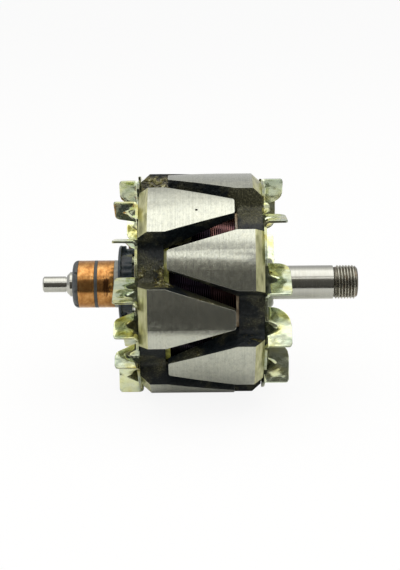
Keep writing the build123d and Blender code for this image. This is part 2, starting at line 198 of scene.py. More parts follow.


# The turned outside of the claws: grey steel with lathe lines, a mottled bloom, scuffs and one pit, drawn
# only as a near-black spot of painted shade
def turnedPoleSteel():
    material, tree, main = newMaterial("turnedPoleSteel", Metallic=0.95)
    fine = turnedLines(tree, 0.6)
    broad = turnedLines(tree, 4.0, 7.0)
    mottle = unevenness(tree, 0.2, 6.0, 0.7)
    grain = unevenness(tree, (1.3, 0.9, 0.9), 4.0, 0.7)
    scuffs = unevenness(tree, (0.55, 0.4, 0.4), 6.0, 0.74, (5, 2, 8))
    # Painted shade: a near-black spot for the pit, which has no hollow
    pitShade = patchMask(tree, rotorPoint(-37.9, -38.8, 55), (0.75, 0.75, 0.75), 0.3)
    tone = stained(
        tree, "#b0b2a6",
        ("#c6c8bc", fine, 0.3, 0.7, 1.0),
        ("#a6a79b", broad, 0.4, 0.65, 0.2),
        ("#cfcdbb", mottle, 0.5, 0.72, 0.3),
        ("#82806a", grain, 0.54, 0.72, 0.45),
        ("#84868a", scuffs, 0.5, 0.34, 0.3),
        ("#dcdccf", scuffs, 0.5, 0.66, 0.25),
        ("#141412", pitShade, 0.0, 1.0, 1.0))
    grainRough = addNode(tree, "MapRange", [grain, 0.4, 0.7, 0.11, 0.19])
    scuffRough = addNode(tree, "MapRange", [scuffs, 0.46, 0.66, 0.0, 0.09])
    pitRough = addNode(tree, "Math", [pitShade, 0.8], operation="MULTIPLY")
    rough = addNode(tree, "Math", [grainRough, scuffRough], operation="ADD")
    rough = addNode(tree, "Math", [rough, pitRough], operation="MAXIMUM")
    finishSurface(tree, main, tone, rough, grain, 0.012, 0.4, 0.3)
    return material


# The pole's chamfer: steel under a thin coat of yellowed varnish
def varnishedChamfer():
    material, tree, main = newMaterial("varnishedChamferSteel", Metallic=0.55, Coat_Weight=0.3,
                                       Coat_Roughness=0.15)
    streaks = unevenness(tree, (0.6, 0.12, 0.12), 5.0)
    tone = addNode(tree, "ValToRGB", [streaks], [(0.3, "#7d7d56"), (0.5, "#b3b284"), (0.72, "#d2d0a6")])
    rough = addNode(tree, "MapRange", [streaks, 0.3, 0.7, 0.3, 0.45])
    finishSurface(tree, main, tone, rough, streaks, 0.08, 0.4, 0.35)
    return material


# Forged flanks under impregnating varnish: blue-black, with dull olive films, glossy brown lumps and painted
# pale highlights on the lumps
def dippedVarnish():
    material, tree, main = newMaterial("dippedPoleVarnish", Metallic=0.0, Specular_IOR_Level=0.3,
                                       Coat_Roughness=0.1)
    filmPatches = (
        (rotorPoint(-13, -54, 50), (12, 17, 17)),
        (rotorPoint(-60, 4, 48), (11, 8, 8)),
        (rotorPoint(-12, 48, 50), (10, 10, 10)))
    thickPatches = (
        (rotorPoint(-58, -81, 51), (11, 8, 8)),
        (rotorPoint(-11, -34, 50), (8, 4, 4)),
        (rotorPoint(-53.5, -3, 47), (5, 7, 7)),
        (rotorPoint(-12, 36, 50), (8, 4, 4)))
    films = unevenness(tree, 0.07, 4.0, shift=(3, 1, 0))
    lumps = unevenness(tree, 0.42, 3.0, 0.5)
    grit = unevenness(tree, 1.5, 5.0, 0.65)
    film = withPatches(tree, addNode(tree, "MapRange", [films, 0.50, 0.62, 0.0, 0.8]), filmPatches, 0.6)
    thick = withPatches(tree, addNode(tree, "MapRange", [films, 0.64, 0.72, 0.0, 0.8]), thickPatches, 0.9)
    # Painted highlight: pale cream where the lumps' noise peaks on the thick resin
    paintedGlints = addNode(tree, "MapRange", [lumps, 0.60, 0.68])
    paintedGlints = addNode(tree, "Math", [thick, paintedGlints], operation="MULTIPLY")
    bare = addNode(tree, "ValToRGB", [grit], [(0.3, "#060a0d"), (0.55, "#0f171b"), (0.72, "#2c3638")])
    dull = addNode(tree, "ValToRGB", [grit], [(0.3, "#1b1c12"), (0.52, "#403f2c"), (0.7, "#78775a")])
    resin = addNode(tree, "ValToRGB", [lumps], [(0.35, "#2c2810"), (0.5, "#5f5827"), (0.65, "#9c9552")])
    tone = stained(tree, bare, (dull, film, 0.0, 1.0, 1.0), (resin, thick, 0.0, 1.0, 1.0),
                   ("#e8e6c4", paintedGlints, 0.0, 1.0, 1.0))
    dullRough = addNode(tree, "MapRange", [grit, 0.3, 0.7, 0.32, 0.6])
    resinRough = addNode(tree, "MapRange", [grit, 0.3, 0.7, 0.05, 0.16])
    rough = addNode(tree, "Mix", [thick, dullRough, resinRough])
    coat = addNode(tree, "MapRange", [thick, 0.0, 1.0, 0.15, 1.0])
    tree.links.new(coat, main.inputs["Coat Weight"])
    swell = addNode(tree, "MapRange", [thick, 0.0, 1.0, 0.8, 4.2])
    gritRelief = addNode(tree, "Math", [grit, 0.22], operation="MULTIPLY")
    relief = addNode(tree, "Math", [lumps, swell, gritRelief], operation="MULTIPLY_ADD")
    finishSurface(tree, main, tone, rough, relief, 1.0, 0.95, 0.6)
    return material


# Zinc-plated sheet with a yellow passivate: pale grey-green, green-white and straw in soft patches.
# Sheared edges are the same sheet in painted shade. Two blades have a small punched dimple, pressed into the
# relief and darkened with painted shade
def passivatedZinc(name, shade):
    material, tree, main = newMaterial(name, Metallic=0.95)
    patches = unevenness(tree, (0.08, 0.10, 0.10), 3.0)
    streaks = unevenness(tree, (0.22, 0.5, 0.5), 5.0, 0.6)
    swell = unevenness(tree, 0.13, 1.5, 0.4)
    rearDimple = patchMask(tree, (-71.2, -1.2, 49.2), (0.95, 0.95, 0.95), 0.2)
    frontDimple = patchMask(tree, (-0.5, 7.0, 47.5), (0.9, 0.9, 0.9), 0.2)
    dimplesAndShade = addNode(tree, "Math", [rearDimple, frontDimple], operation="MAXIMUM")
    tone = addNode(tree, "ValToRGB", [patches], [
        (0.34, "#c0cdb8"), (0.46, "#d5dec2"), (0.56, "#dde0ae"), (0.70, "#cfc366")])
    tone = stained(tree, tone, ("#eef0d8", streaks, 0.5, 0.72, 0.5), ("#84874f", streaks, 0.44, 0.3, 0.6))
    # Painted shade: the edge copy is mixed towards dark olive by its shade share
    tone = addNode(tree, "Mix", [shade, tone, "#3a3b27"], data_type="RGBA")
    # Painted shade: the dimples are darkened towards dark olive
    tone = stained(tree, tone, ("#34361f", dimplesAndShade, 0.0, 1.0, 0.75))
    rough = addNode(tree, "MapRange", [streaks, 0.3, 0.7, 0.08, 0.2])
    relief = addNode(tree, "Math", [streaks, 0.06, swell], operation="MULTIPLY_ADD")
    relief = addNode(tree, "Math", [dimplesAndShade, -0.3, relief], operation="MULTIPLY_ADD")
    finishSurface(tree, main, tone, rough, relief, 0.95, 0.8, 0.25)
    return material


# Copper polished by the brushes: golden, with fine tracks, lighter scuffs and a dark brown patch on the side
# towards the camera
def slipRingCopper():
    material, tree, main = newMaterial("brushedTrackCopper", Metallic=0.95)
    tracks = turnedLines(tree, 0.35)
    patches = unevenness(tree, (0.40, 0.25, 0.25), 6.0, 0.75)
    darkPatch = patchMask(tree, rotorPoint(-83.0, 6, 11.9), (1.7, 5.0, 4.6), 1.5)
    tone = addNode(tree, "ValToRGB", [patches], [(0.36, "#a06d3d"), (0.5, "#bf884d"), (0.64, "#d6a569")])
    tone = stained(tree, tone, ("#8f5f34", tracks, 0.5, 0.75, 0.4), ("#4a2617", darkPatch, 0.0, 1.0, 0.8))
    rough = addNode(tree, "MapRange", [patches, 0.3, 0.7, 0.26, 0.16])
    finishSurface(tree, main, tone, rough, tracks, 0.015, 0.5)
    return material


# A plain surface, slightly mottled: moulded plastic, the lead joints' dark finish of painted shade, or dull
# steel
def mottledSurface(name, dark, light, roughness):
    material, tree, main = newMaterial(name, Metallic=0.0)
    mottle = unevenness(tree, 0.5, 5.0)
    tone = stained(tree, dark, (light, mottle, 0.3, 0.7, 1.0))
    rough = addNode(tree, "MapRange", [mottle, 0.3, 0.7, roughness - 0.08, roughness + 0.08])
    finishSurface(tree, main, tone, rough, mottle, 0.06, 0.4, 0.3)
    return material


# The rings' moulding: dark grey, lighter where it is bare next to the collar
def ringMoulding():
    material, tree, main = newMaterial("greyRingMoulding", Metallic=0.0)
    mottle = unevenness(tree, 0.5, 5.0)
    along = addNode(tree, "SeparateXYZ", [objectPoint(tree)])
    pastRing = addNode(tree, "MapRange", [along, -79.4, -79.1])
    outside = addNode(tree, "MapRange", [offShaft(tree), 11.0, 11.6])
    bare = addNode(tree, "Math", [pastRing, outside], operation="MULTIPLY")
    grey = stained(tree, "#393c3e", ("#505355", mottle, 0.3, 0.7, 1.0))
    pale = stained(tree, "#83857f", ("#a5a69f", mottle, 0.3, 0.7, 1.0))
    tone = stained(tree, grey, (pale, bare, 0.0, 1.0, 1.0))
    rough = addNode(tree, "MapRange", [mottle, 0.3, 0.7, 0.38, 0.52])
    finishSurface(tree, main, tone, rough, mottle, 0.05, 0.4, 0.3)
    return material


# Bobbin under varnish: olive-yellow at the slip-ring end, cream at the drive end, dark petals
def bobbinMoulding():
    material, tree, main = newMaterial("varnishedBobbin", Metallic=0.0, Coat_Weight=0.7,
                                       Coat_Roughness=0.1)
    along = addNode(tree, "SeparateXYZ", [objectPoint(tree)])
    mottle = unevenness(tree, 0.3, 5.0)
    slipSide = stained(tree, "#6f6f26", ("#c2c160", mottle, 0.35, 0.6, 1.0))
    driveSide = stained(tree, "#9a8468", ("#cdb795", mottle, 0.35, 0.6, 1.0))
    petals = stained(tree, "#35351f", ("#6d6a48", mottle, 0.35, 0.6, 1.0))
    pastSlipFlange = addNode(tree, "MapRange", [along, -51.3, -50.6])
    beforeDriveFlange = addNode(tree, "MapRange", [along, -19.4, -19.8])
    inside = addNode(tree, "Math", [pastSlipFlange, beforeDriveFlange], operation="MULTIPLY")
    tone = stained(tree, slipSide, (driveSide, along, -25.0, -19.8, 1.0), (petals, inside, 0.0, 1.0, 1.0))
    rough = addNode(tree, "MapRange", [mottle, 0.3, 0.7, 0.25, 0.4])
    finishSurface(tree, main, tone, rough, mottle, 0.15, 0.5, 0.3)
    return material


# Enamelled winding wire under varnish: blue-black, copper-pink beyond the last layer's end, and
# dark again under painted shade just below the line of sight
def enamelledCopper():
    material, tree, main = newMaterial("enamelledWindingWire", Metallic=1.0, Coat_Weight=0.2,
                                       Coat_Roughness=0.1)
    along = addNode(tree, "SeparateXYZ", [objectPoint(tree)])
    patches = unevenness(tree, (0.16, 0.12, 0.12), 4.0)
    # Painted shade over the winding where it faces the camera just below the line of sight
    windowShadeBelow = patchMask(tree, rotorPoint(-28, 20, 41), (17, 17, 17), 0.3)
    outer = addNode(tree, "ValToRGB", [patches], [(0.4, "#181322"), (0.6, "#33202f"), (0.72, "#6e4038")])
    inner = addNode(tree, "ValToRGB", [patches], [(0.35, "#573a40"), (0.6, "#94675f"), (0.72, "#b58c7a")])
    tone = stained(tree, outer, (inner, along, -31.6, -31.2, 1.0), ("#251722", windowShadeBelow, 0.0, 1.0, 0.75))
    finishSurface(tree, main, tone, addNode(tree, "MapRange", [patches, 0.3, 0.7, 0.12, 0.22]))
    return material


# Tinned lead and terminal: pinkish silver
def tinnedCopper():
    material, tree, main = newMaterial("tinnedLeadCopper", Metallic=0.9)
    mottle = unevenness(tree, 0.8)
    tone = stained(tree, "#8a6f66", ("#c9b4a8", mottle, 0.35, 0.65, 1.0))
    finishSurface(tree, main, tone, addNode(tree, "MapRange", [mottle, 0.3, 0.7, 0.25, 0.4]))
    return material


# Varnished glass sleeving, its weave drawn as coarse patches
def wovenSleeve():
    material, tree, main = newMaterial("varnishedSleeving", Metallic=0.0, Coat_Weight=0.3)
    weave = unevenness(tree, 1.6, 2.0)
    tone = stained(tree, "#7c7452", ("#b9ad84", weave, 0.35, 0.65, 1.0))
    rough = addNode(tree, "MapRange", [weave, 0.3, 0.7, 0.5, 0.7])
    finishSurface(tree, main, tone, rough, weave, 0.1, 0.6)
    return material


finishes = {
    "shaft": groundSteel(),
    "poleOutside": turnedPoleSteel(),
    "chamfer": varnishedChamfer(),
    "varnish": dippedVarnish(),
    "zinc": passivatedZinc("yellowPassivatedSheet", 0.0),
    "zincEdge": passivatedZinc("shadedShearedEdge", 0.45),
    "copperRing": slipRingCopper(),
    "thread": threadSteel(),
    "insulator": ringMoulding(),
    "collar": mottledSurface("blackCollarMoulding", "#17202a", "#2c3a46", 0.2),
    "spacer": mottledSurface("greyGreenSpacerSteel", "#6c7064", "#9a9d90", 0.4),
    "bobbin": bobbinMoulding(),
    "wire": enamelledCopper(),
    "lead": tinnedCopper(),
    "sleeve": wovenSleeve(),
    "jointShade": mottledSurface("darkShadedJointFinish", "#27313a", "#3c4852", 0.24),
}
print("finishes made", len(finishes))


# Helpers for the pieces

# A new object in the scene, from a shape that is then let go
def newObject(name, shape):
    mesh = bpy.data.meshes.new(name)
    shape.to_mesh(mesh)
    shape.free()
    made = bpy.data.objects.new(name, mesh)
    bpy.context.scene.collection.objects.link(made)
    return made


# Adds a part to a whole, and lets the part go
def addShape(whole, part):
    mesh = bpy.data.meshes.new("part")
    part.to_mesh(mesh)
    part.free()
    whole.from_mesh(mesh)
    bpy.data.meshes.remove(mesh)


# Puts a finished shape on the rotor in place of its frame node
def finishPiece(name, shape, materials, node, smoothAngle=32):
    piece = newObject(name, shape)
    for material in materials:
        piece.data.materials.append(material)
    piece.data.shade_smooth()
    piece.data.set_sharp_from_angle(angle=math.radians(smoothAngle))
    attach(piece, "root")
    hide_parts(node)


# Where a frame node starts and ends along the shaft and its radius, in millimetres
def nodeSpan(node):
    low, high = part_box(node)
    return low.x / mm, high.x / mm, high.z / mm


# Turns a part about the shaft and moves it along it, in degrees and millimetres
def placeOnShaft(part, along, angle):
    place = Matrix.Translation((along * mm, 0, 0)) @ Matrix.Rotation(math.radians(angle), 4, "X")
    bmesh.ops.transform(part, matrix=place, verts=part.verts[:])


# Spins a closed outline of (x, radius) points in millimetres about the shaft
def turnProfile(points, rounding=0.0, segments=96):
    shape = bmesh.new()
    corners = [shape.verts.new((x * mm, 0, r * mm)) for x, r in points]
    for first, second in zip(corners, corners[1:] + corners[:1]):
        shape.edges.new((first, second))
    if rounding:
        bmesh.ops.bevel(shape, geom=corners, offset=rounding * mm, segments=2, profile=0.5,
                        affect="VERTICES", material=-1)
    bmesh.ops.spin(shape, geom=shape.verts[:] + shape.edges[:], cent=(0, 0, 0), axis=(1, 0, 0),
                   angle=math.tau, steps=segments, use_merge=True)
    bmesh.ops.remove_doubles(shape, verts=shape.verts[:], dist=0.001 * mm)
    bmesh.ops.recalc_face_normals(shape, faces=shape.faces[:])
    return shape


# Pieces

# Claw poles, from a joined copy of the frame's mesh: turned outside, varnished chamfers, dark flanks
def buildPoles():
    settings = {"join": 0.002, "flat": 0.5, "outside": 54.75, "level": 0.97, "slant": 0.5,
                "chamferLength": 5.0, "smooth": 28}
    for node in ("drive_end_pole", "slip_ring_end_pole"):
        shape = bmesh.new()
        shape.from_mesh(nodes[node].data)
        bmesh.ops.remove_doubles(shape, verts=shape.verts[:], dist=settings["join"] * mm)
        bmesh.ops.dissolve_limit(shape, angle_limit=math.radians(settings["flat"]), verts=shape.verts[:],
                                 edges=shape.edges[:], use_dissolve_boundaries=False)
        start, end, _ = nodeSpan(node)
        faceX = end if node.startswith("drive") else start
        for face in shape.faces:
            middle = face.calc_center_median()
            radial = Vector((0, middle.y, middle.z))
            outwards = face.normal.dot(radial.normalized())
            slanted = outwards > settings["slant"] and abs(face.normal.x) > settings["slant"]
            if outwards > settings["level"] and radial.length > settings["outside"] * mm:
                face.material_index = 0
            elif slanted and abs(middle.x / mm - faceX) < settings["chamferLength"]:
                face.material_index = 1
            else:
                face.material_index = 2
        materials = [finishes["poleOutside"], finishes["chamfer"], finishes["varnish"]]
        finishPiece(node.replace("_", "-") + "-claws", shape, materials, node,
                    settings["smooth"])
    print("poles placed")


buildPoles()


# The field coil, with a ridge for each turn of wire and a step where its last layer ends
def buildWinding():
    settings = {"pitch": 1.0, "ridge": 0.28, "inside": 29.0, "stepAt": 19.6, "step": 0.65, "smooth": 60}
    wireOutline = ((0.06, 1.0), (0.25, 0.3), (0.5, 0.0), (0.75, 0.3), (0.94, 1.0))    # of a pitch, of a ridge
    start, end, radius = nodeSpan("field_winding")
    turns = int((end - start) / settings["pitch"])
    pitch = (end - start) / turns
    points = [(start, settings["inside"])]
    for turn in range(turns):
        left = start + turn * pitch
        outer = radius - (settings["step"] if left - start > settings["stepAt"] else 0)
        points += [(left + share * pitch, outer - drop * settings["ridge"]) for share, drop in wireOutline]
    points.append((end, settings["inside"]))
    finishPiece("field-coil-turns", turnProfile(points), [finishes["wire"]], "field_winding",
                settings["smooth"])
    print("winding placed", turns, "turns")


buildWinding()


# A bobbin petal: a thin curved tab with rounded corners, from its root the given way along the shaft
def petalSheet(settings, way):
    half, corner, radius = settings["petalHalf"], settings["corner"], settings["petalOut"]
    petal = bmesh.new()
    bmesh.ops.create_grid(petal, x_segments=settings["columns"], y_segments=settings["rows"], size=0.5)
    for vertex in petal.verts:
        across = 2 * half * vertex.co.x
        over = abs(across) - (half - corner)
        pull = corner - math.sqrt(max(corner * corner - over * over, 0)) if over > 0 else 0
        out = (settings["petalLength"] - pull) * (vertex.co.y + 0.5)
        turn = across / radius
        vertex.co = Vector((way * out, radius * math.sin(turn), radius * math.cos(turn))) * mm
    petal.normal_update()
    if petal.faces[:][0].normal.z < 0:
        bmesh.ops.reverse_faces(petal, faces=petal.faces[:])
    bmesh.ops.solidify(petal, geom=petal.faces[:], thickness=settings["petalThick"] * mm)
    return petal


# Bobbin: two flanges on a tube, with a thin petal under the root of each finger
def buildBobbin():
    settings = {"tube": 28.2, "bore": 27.0, "slipFlange": 2.4, "driveFlange": 1.2, "petals": 6,
                "petalOut": 42.0, "petalThick": 0.95, "petalHalf": 11.3, "petalLength": 12.0, "corner": 5.0,
                "columns": 16, "rows": 10, "slipRoot": -1.0, "driveRoot": 0.5, "slipAngle": 0.0,
                "driveAngle": 90.0}    # angles of the first finger of each pole, in degrees
    start, end, radius = nodeSpan("bobbin")
    slipFace, driveFace = start + settings["slipFlange"], end - settings["driveFlange"]
    bore, tube = settings["bore"], settings["tube"]
    bobbin = turnProfile([(start, bore), (start, radius), (slipFace, radius), (slipFace, tube),
                          (driveFace, tube), (driveFace, radius), (end, radius), (end, bore)])
    for root, way, firstAngle in (
            (slipFace + settings["slipRoot"], 1, settings["slipAngle"]),
            (driveFace + settings["driveRoot"], -1, settings["driveAngle"])):
        for step in range(settings["petals"]):
            petal = petalSheet(settings, way)
            placeOnShaft(petal, root, firstAngle + 360 / settings["petals"] * step + 90)
            addShape(bobbin, petal)
    bmesh.ops.recalc_face_normals(bobbin, faces=bobbin.faces[:])
    finishPiece("moulded-bobbin", bobbin, [finishes["bobbin"]], "bobbin")
    print("bobbin placed")


buildBobbin()


def buildSlipRings():
    settings = {"wall": 1.8, "rounding": 0.25}
    for node in ("outer_slip_ring", "inner_slip_ring"):
        start, end, radius = nodeSpan(node)
        inside = radius - settings["wall"]
        shape = turnProfile([(start, inside), (start, radius), (end, radius), (end, inside)],
                            settings["rounding"])
        finishPiece(node.replace("_", "-") + "-track", shape, [finishes["copperRing"]], node)
    print("slip rings placed")


buildSlipRings()


# The pulley thread as a real helix, from its seat to the shaft's end, running out at both
def threadTurns(size, end):
    pitch, crest, seatEnd = size["pitch"], size["seat"], size["seatEnd"]
    root = crest - size["depth"]
    first = seatEnd - 2 * pitch
    turns = int((end - first) / pitch) + 2
    thread = bmesh.new()
    corners = [thread.verts.new(((first + share * pitch) * mm, 0, (root if low else crest) * mm))
               for share, low in size["threadOutline"]]
    for left, right in zip(corners, corners[1:]):
        thread.edges.new((left, right))
    steps = size["segments"]
    bmesh.ops.spin(thread, geom=thread.verts[:] + thread.edges[:], cent=(0, 0, 0), axis=(1, 0, 0),
                   dvec=(pitch * mm / steps, 0, 0), angle=math.tau * turns, steps=steps * turns)
    bmesh.ops.remove_doubles(thread, verts=thread.verts[:], dist=0.005 * mm)
    threadStart = seatEnd + size["threadGap"]
    for cut, keepRight in ((threadStart, True), (end - size["threadShort"], False)):
        bmesh.ops.bisect_plane(thread, geom=thread.verts[:] + thread.edges[:] + thread.faces[:],
                               plane_co=(cut * mm, 0, 0), plane_no=(1, 0, 0), clear_inner=keepRight,
                               clear_outer=not keepRight)
    for vertex in thread.verts:
        along = vertex.co.x / mm
        radius = math.hypot(vertex.co.y, vertex.co.z) / mm
        limit = min(crest, size["endRadius"] + (end - along),
                    size["startRadius"] + (along - threadStart) * size["startSlope"])
        if radius > limit:
            vertex.co.y *= limit / radius
            vertex.co.z *= limit / radius
    bmesh.ops.recalc_face_normals(thread, faces=thread.faces[:])
    outwards = 0.0
    for face in thread.faces:
        middle = face.calc_center_median()
        outwards += face.normal.dot(Vector((0, middle.y, middle.z)))
    if outwards < 0:
        bmesh.ops.reverse_faces(thread, faces=thread.faces[:])
    return thread


# Ground shaft, from the journal's centre hole to the thread's
def buildShaft():
    size = {
        "centre": 1.6, "journalDimple": 0.6, "journalEdge": 3.4, "journal": 4.0, "journalEnd": -104.1,
        "relief": 3.65, "reliefEnd": -103.3, "ringSeatEdge": 4.6, "ringSeatStart": -101.7, "ringSeat": 6.2,
        "fanFace": -66.7, "coreSeat": 8.7, "seat": 8.5, "seatEnd": 30.4, "seatEdge": 0.2, "groove": 0.5,
        "threadCore": 7.55, "endEdge": 6.6, "endChamfer": 1.2, "endInset": 0.2, "centreDepth": 2.4,
        "pitch": 1.5, "depth": 0.85, "threadGap": 0.9, "threadShort": 0.15, "startRadius": 7.7,
        "startSlope": 1.2, "endRadius": 7.0, "segments": 64, "smooth": 30,
        "threadOutline": ((0.0, True), (0.10, True), (0.42, False), (0.62, False), (1.0, True))}
    start, end, _ = nodeSpan("shaft")
    journalStep = start + size["journalDimple"]
    tip = end - size["endInset"]
    outline = [
        (journalStep, 0), (start, size["centre"]), (start, size["journalEdge"]),
        (journalStep, size["journal"]), (size["journalEnd"], size["journal"]),
        (size["journalEnd"], size["relief"]), (size["reliefEnd"], size["relief"]),
        (size["reliefEnd"], size["ringSeatEdge"]), (size["ringSeatStart"], size["ringSeat"]),
        (size["fanFace"], size["ringSeat"]), (size["fanFace"], size["coreSeat"]),
        (0, size["coreSeat"]), (0, size["seat"]), (size["seatEnd"] - size["seatEdge"], size["seat"]),
        (size["seatEnd"] + size["groove"], size["threadCore"]),
        (end - size["endChamfer"], size["threadCore"]),
        (tip, size["endEdge"]), (tip, size["centre"]), (end - size["centreDepth"], 0)]
    shaft = turnProfile(outline, segments=size["segments"])
    addShape(shaft, threadTurns(size, end))
    threadFrom = size["seatEnd"] + size["groove"] + 0.1    # past the groove's own slope
    for face in shaft.faces:
        face.material_index = 1 if face.calc_center_median().x > threadFrom * mm else 0
    finishPiece("ground-shaft", shaft, [finishes["shaft"], finishes["thread"]], "shaft",
                size["smooth"])
    print("shaft placed")


buildShaft()


# Fans: pressed sheet with folded blades and rounded darts across the bends
sheetSize = {
    "thickness": 1.2, "bendRadius": 1.6, "foot": 4.5, "outerCorner": 1.6,
    "dartDepth": 4.2, "dartRound": 1.25, "dartFall": 0.5, "dartBlend": 1.9,
    "wave": 0.16, "waveFrom": 1.0, "waveOver": 4.0, "wavesUp": 0.16, "wavesAlong": 0.13,
    "edgeFrom": 1.3, "edgeRound": 0.22, "columns": 36, "rows": 16, "bendSteps": 8}
oneDart = (0.54,)
twoDarts = (0.373, 0.707)
# Outer-end angle, lean, chord, height, slant of the inner end, inner corner, darts
rearBlades = [
    (-86.0, 23.0, 14.0, 10.0, 1.5, 3.0, ()),
    (-64.3, 23.0, 21.0, 11.8, 4.0, 2.5, oneDart),
    (-40.0, 26.0, 22.0, 11.9, 4.0, 3.0, oneDart),
    (-9.5, 19.5, 24.5, 11.9, 0.5, 2.0, twoDarts),
    (9.1, 19.5, 17.4, 11.8, 6.0, 2.0, oneDart),
    (28.9, 19.5, 13.6, 12.0, 5.6, 2.0, oneDart),
    (66.4, 19.5, 20.0, 11.6, 4.0, 2.0, oneDart),
]
rearBlades += [(66.4 + 28.3 * (step + 1), 19.5, 21.0, height, 4.0, 2.0, oneDart)
               for step, height in enumerate((11.6, 11.6, 11.6, 11.6, 9.4, 10.0))]
frontBlades = [
    (-94.6, 32.0, 15.5, 11.1, 1.5, 5.5, ()),
    (-51.8, 45.0, 22.0, 11.3, 1.0, 5.0, oneDart),
    (-12.6, 32.0, 24.3, 12.7, 0.5, 6.0, oneDart),
    (16.2, 32.0, 20.5, 13.0, 1.0, 9.0, oneDart),
    (49.1, 32.0, 20.0, 12.7, 0.5, 6.5, oneDart),
]
frontBlades += [(angle, 32.0, 21.5, height, 1.0, height / 2, oneDart)
                for angle, height in ((85.1, 11.0), (121.1, 11.0), (157.1, 9.0), (190.2, 9.5), (229.1, 9.1))]


# The larger of two values, with the corner between them rounded
def smoothMax(first, second, width):
    share = max(0.0, min(1.0, 0.5 + 0.5 * (first - second) / width))
    return second + (first - second) * share + width * share * (1 - share)


# Height above the disc and distance from the blade's own plane, from the foot round the bend and up
def bladePath(height):
    size = sheetSize
    bend = size["bendRadius"] + size["thickness"]
    path = [(0.0, size["foot"]), (0.0, (size["foot"] + bend) / 2)]
    for step in range(size["bendSteps"] + 1):
        turn = math.radians(90 * step / size["bendSteps"])
        path.append((bend - bend * math.cos(turn), bend - bend * math.sin(turn)))
    path += [(bend + (height - bend) * step / size["rows"], 0.0) for step in range(1, size["rows"] + 1)]
    return path


# One folded blade as a closed sheet. Its axes: out from the disc, along the chord, to its foot
def bladeSheet(blade):
    angle, _, chord, height, slant, corner, darts = blade
    size = sheetSize
    path = bladePath(height)
    shape = bmesh.new()
    bmesh.ops.create_grid(shape, x_segments=size["columns"], y_segments=len(path) - 1, size=0.5)
    for vertex in shape.verts:
        x, z = path[round((vertex.co.y + 0.5) * (len(path) - 1))]
        inner, outer = slant * x / height, chord
        innerOver, outerOver = x - (height - corner), x - (height - size["outerCorner"])
        if innerOver > 0:
            inner += corner - math.sqrt(max(corner ** 2 - innerOver ** 2, 0.0))
        if outerOver > 0:
            outer -= size["outerCorner"] - math.sqrt(max(size["outerCorner"] ** 2 - outerOver ** 2, 0.0))
        along = inner + (outer - inner) * (vertex.co.x + 0.5)
        q, p = (x + z) / math.sqrt(2), (x - z) / math.sqrt(2)    # out of the bend, and across it
        for share in darts:
            offset = along - chord * share
            groove = size["dartDepth"] + min(p, 0.0) * size["dartFall"]
            q = smoothMax(q, groove - offset * offset / (2 * size["dartRound"]), size["dartBlend"])
        away = max(0.0, min(1.0, (x - size["waveFrom"]) / size["waveOver"]))
        wave = noise.noise(Vector((x * size["wavesUp"], along * size["wavesAlong"], angle)))
        wave *= size["wave"] * away
        vertex.co = Vector(((q + p) / math.sqrt(2), along, (q - p) / math.sqrt(2) + wave)) * mm
    shape.normal_update()
    tip = max(shape.faces, key=lambda face: face.calc_center_median().x)
    if tip.normal.z < 0:
        bmesh.ops.reverse_faces(shape, faces=shape.faces[:])
    bmesh.ops.solidify(shape, geom=shape.faces[:], thickness=-size["thickness"] * mm)
    rim = [edge for edge in shape.edges if edge.calc_face_angle(0) > math.radians(60)
           and min(v.co.x for v in edge.verts) > size["edgeFrom"] * mm]
    # Rim faces of the blade take the second finish, the painted-shade copy
    for face in {face for edge in rim for face in edge.link_faces}:
        if sum(edge in rim for edge in face.edges) > 1:
            face.material_index = 1
    bmesh.ops.bevel(shape, geom=rim, offset=size["edgeRound"] * mm, segments=2, profile=0.5,
                    affect="EDGES", material=-1)
    return shape


# From a blade's own axes to its seat on the rotor
def bladePlace(blade, radius, flip):
    angle, lean, chord = blade[:3]
    seat = Matrix.Translation((0, radius * mm, 0)) @ Matrix.Rotation(math.radians(lean), 4, "X")
    seat = seat @ Matrix.Translation((0, -chord * mm, 0))
    return Matrix.Diagonal((flip, 1, 1, 1)) @ Matrix.Rotation(math.radians(angle + 180), 4, "X") @ seat


# The opening left in the disc by a folded blade, as a cutting block
def notchBlock(blade, radius, settings):
    thickness, foot = sheetSize["thickness"], sheetSize["foot"]
    bend = sheetSize["bendRadius"] + thickness
    chord = blade[2]
    low, high, wide = -settings["runIn"], chord + settings["notch"], -settings["notch"]
    block = bmesh.new()
    corners = [block.verts.new((-thickness * mm, y * mm, z * mm)) for y, z in (
        (low, wide), (high, wide), (high, bend), (chord, bend), (chord, foot), (0, foot), (0, bend),
        (low, bend))]
    block.faces.new(corners)
    bmesh.ops.bevel(block, geom=[corners[0], corners[7]], offset=settings["notchCorner"] * mm, segments=4,
                    profile=0.5, affect="VERTICES", material=-1)
    walls = bmesh.ops.extrude_face_region(block, geom=block.faces[:])
    lifted = [v for v in walls["geom"] if isinstance(v, bmesh.types.BMVert)]
    bmesh.ops.translate(block, verts=lifted, vec=(3 * thickness * mm, 0, 0))
    bmesh.ops.recalc_face_normals(block, faces=block.faces[:])
    bmesh.ops.transform(block, matrix=bladePlace(blade, radius, 1), verts=block.verts[:])
    return block


# A round bar through the disc, to cut a lead's hole
def holeBar(angle, settings):
    drill = bmesh.new()
    place = Matrix.Translation((0, settings["holeAt"] * mm, 0)) @ Matrix.Rotation(math.pi / 2, 4, "Y")
    bmesh.ops.create_cone(drill, cap_ends=True, segments=24, radius1=settings["holeRadius"] * mm,
                          radius2=settings["holeRadius"] * mm, depth=5 * sheetSize["thickness"] * mm,
                          matrix=Matrix.Rotation(math.radians(angle + 180), 4, "X") @ place)
    return drill


